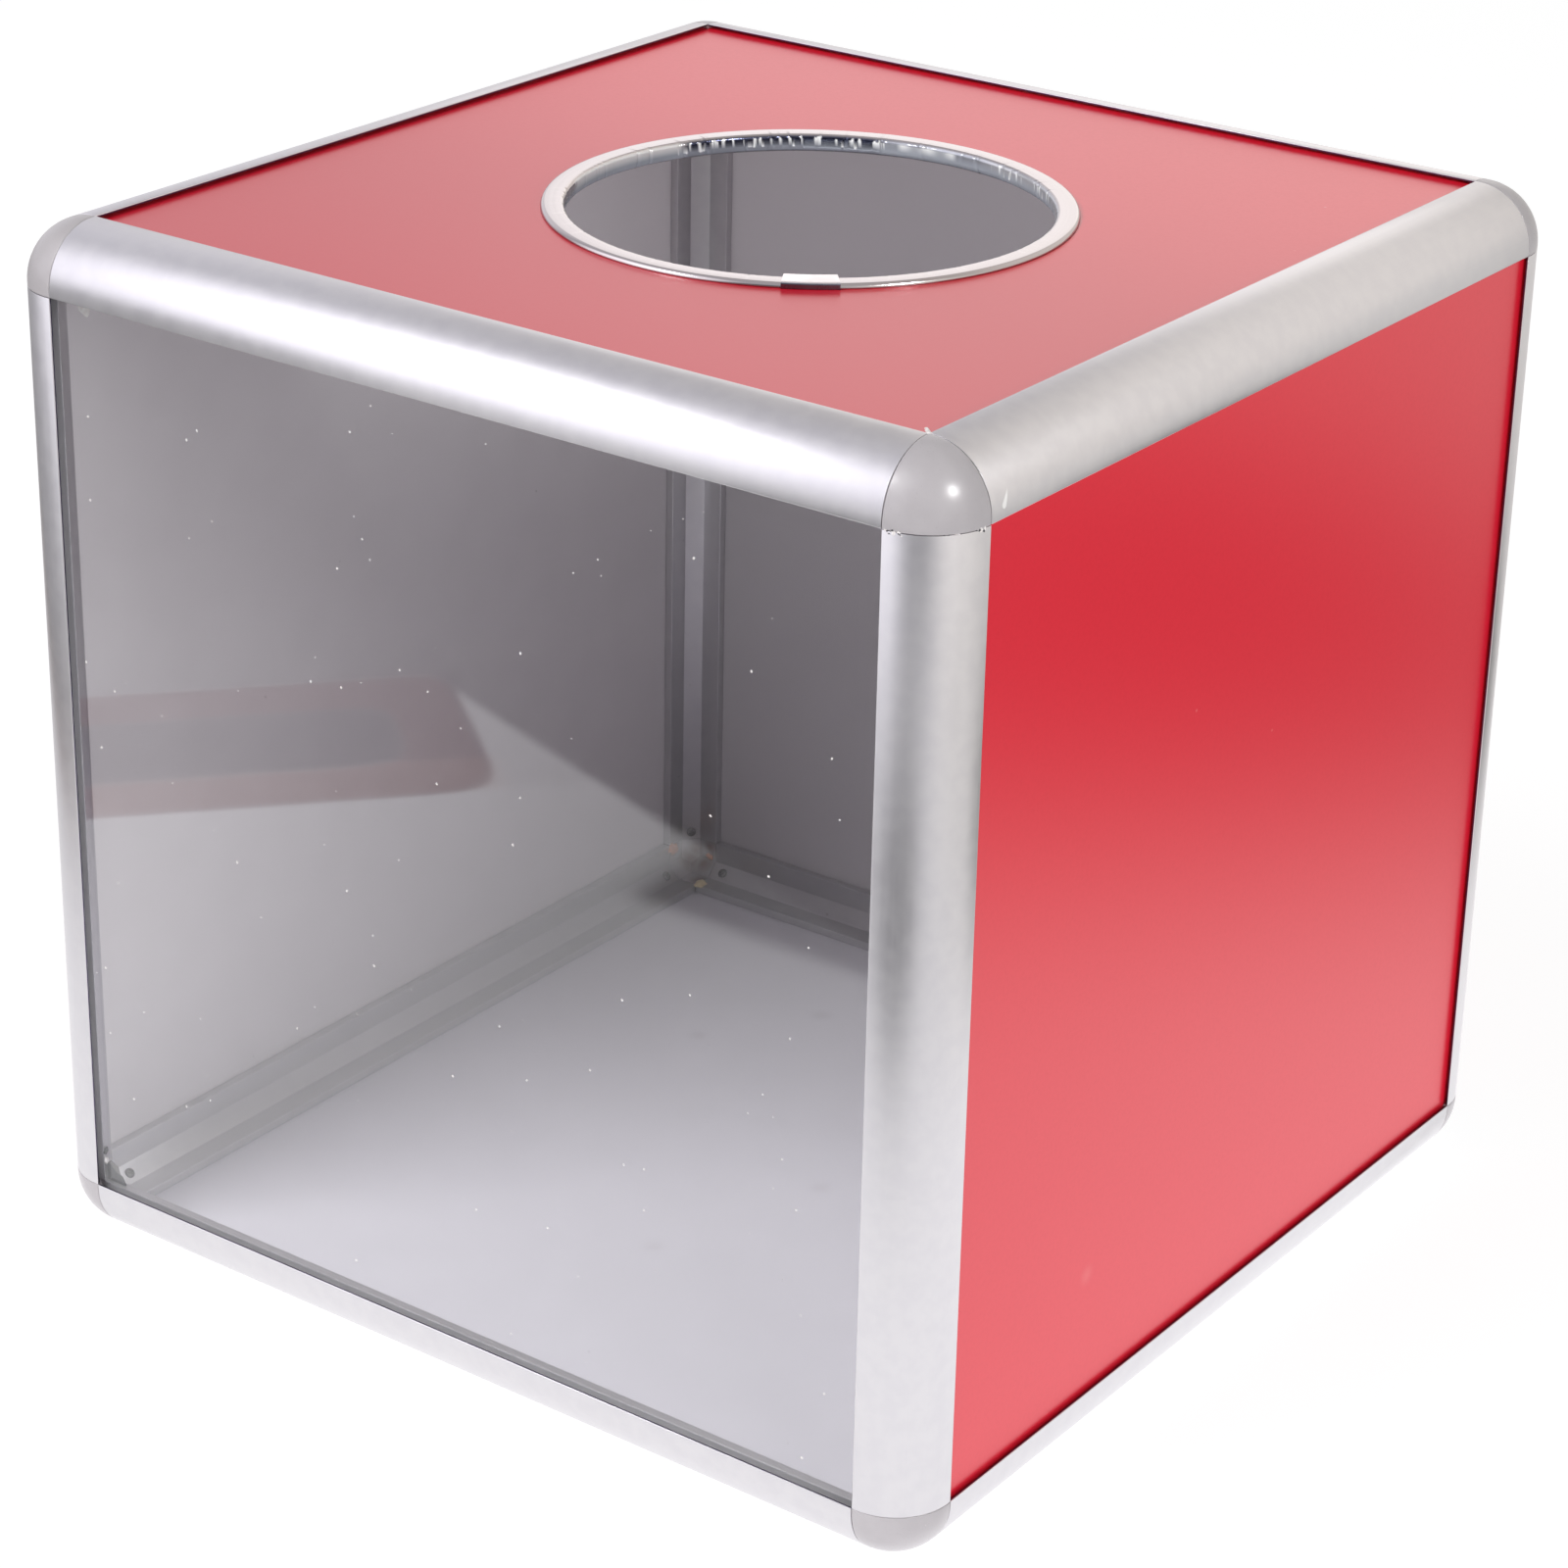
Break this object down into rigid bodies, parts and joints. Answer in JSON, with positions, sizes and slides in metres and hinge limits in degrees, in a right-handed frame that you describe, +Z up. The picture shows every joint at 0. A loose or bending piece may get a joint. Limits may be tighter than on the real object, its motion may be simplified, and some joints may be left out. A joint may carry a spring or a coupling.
{
  "type": "raffle box",
  "caption": "Cube-shaped raffle and ballot box with a quarter-round aluminium frame, red boards, a clear front window and a round hand hole with a bright edge trim in the top.",
  "frame": {"origin": "bottom centre of the box, on the surface it stands on", "axes": "+Z up, -Y out of the clear front window, +X to the right as seen from the front"},
  "size_m": [0.3, 0.3, 0.3003],
  "materials": {
    "anodised_rail": "satin anodised extrusion",
    "corner_plastic": "moulded grey plastic, semi-gloss",
    "clear_window": "clear polished acrylic",
    "red_board": "semi-gloss red face, pale grey inner face",
    "pale_board": "pale grey board",
    "trim_chrome": "bright edge trim with fine bending wrinkles inside",
    "clip_steel": "folded sheet, satin"
  },
  "bodies": {
    "root": {"rail_bottom_front": "anodised_rail", "rail_bottom_back": "anodised_rail", "rail_bottom_left": "anodised_rail", "rail_bottom_right": "anodised_rail", "rail_top_front": "anodised_rail", "rail_top_back": "anodised_rail", "rail_top_left": "anodised_rail", "rail_top_right": "anodised_rail", "post_front_left": "anodised_rail", "post_front_right": "anodised_rail", "post_back_left": "anodised_rail", "post_back_right": "anodised_rail", "corner_bottom_front_left": "corner_plastic", "corner_bottom_front_right": "corner_plastic", "corner_bottom_back_left": "corner_plastic", "corner_bottom_back_right": "corner_plastic", "corner_top_front_left": "corner_plastic", "corner_top_front_right": "corner_plastic", "corner_top_back_left": "corner_plastic", "corner_top_back_right": "corner_plastic", "front_window": "clear_window", "back_panel": "red_board", "left_panel": "red_board", "right_panel": "red_board", "top_panel": "red_board", "base_panel": "pale_board", "hole_trim": "trim_chrome", "trim_joiner_clip": "clip_steel"}
  },
  "joints": []
}
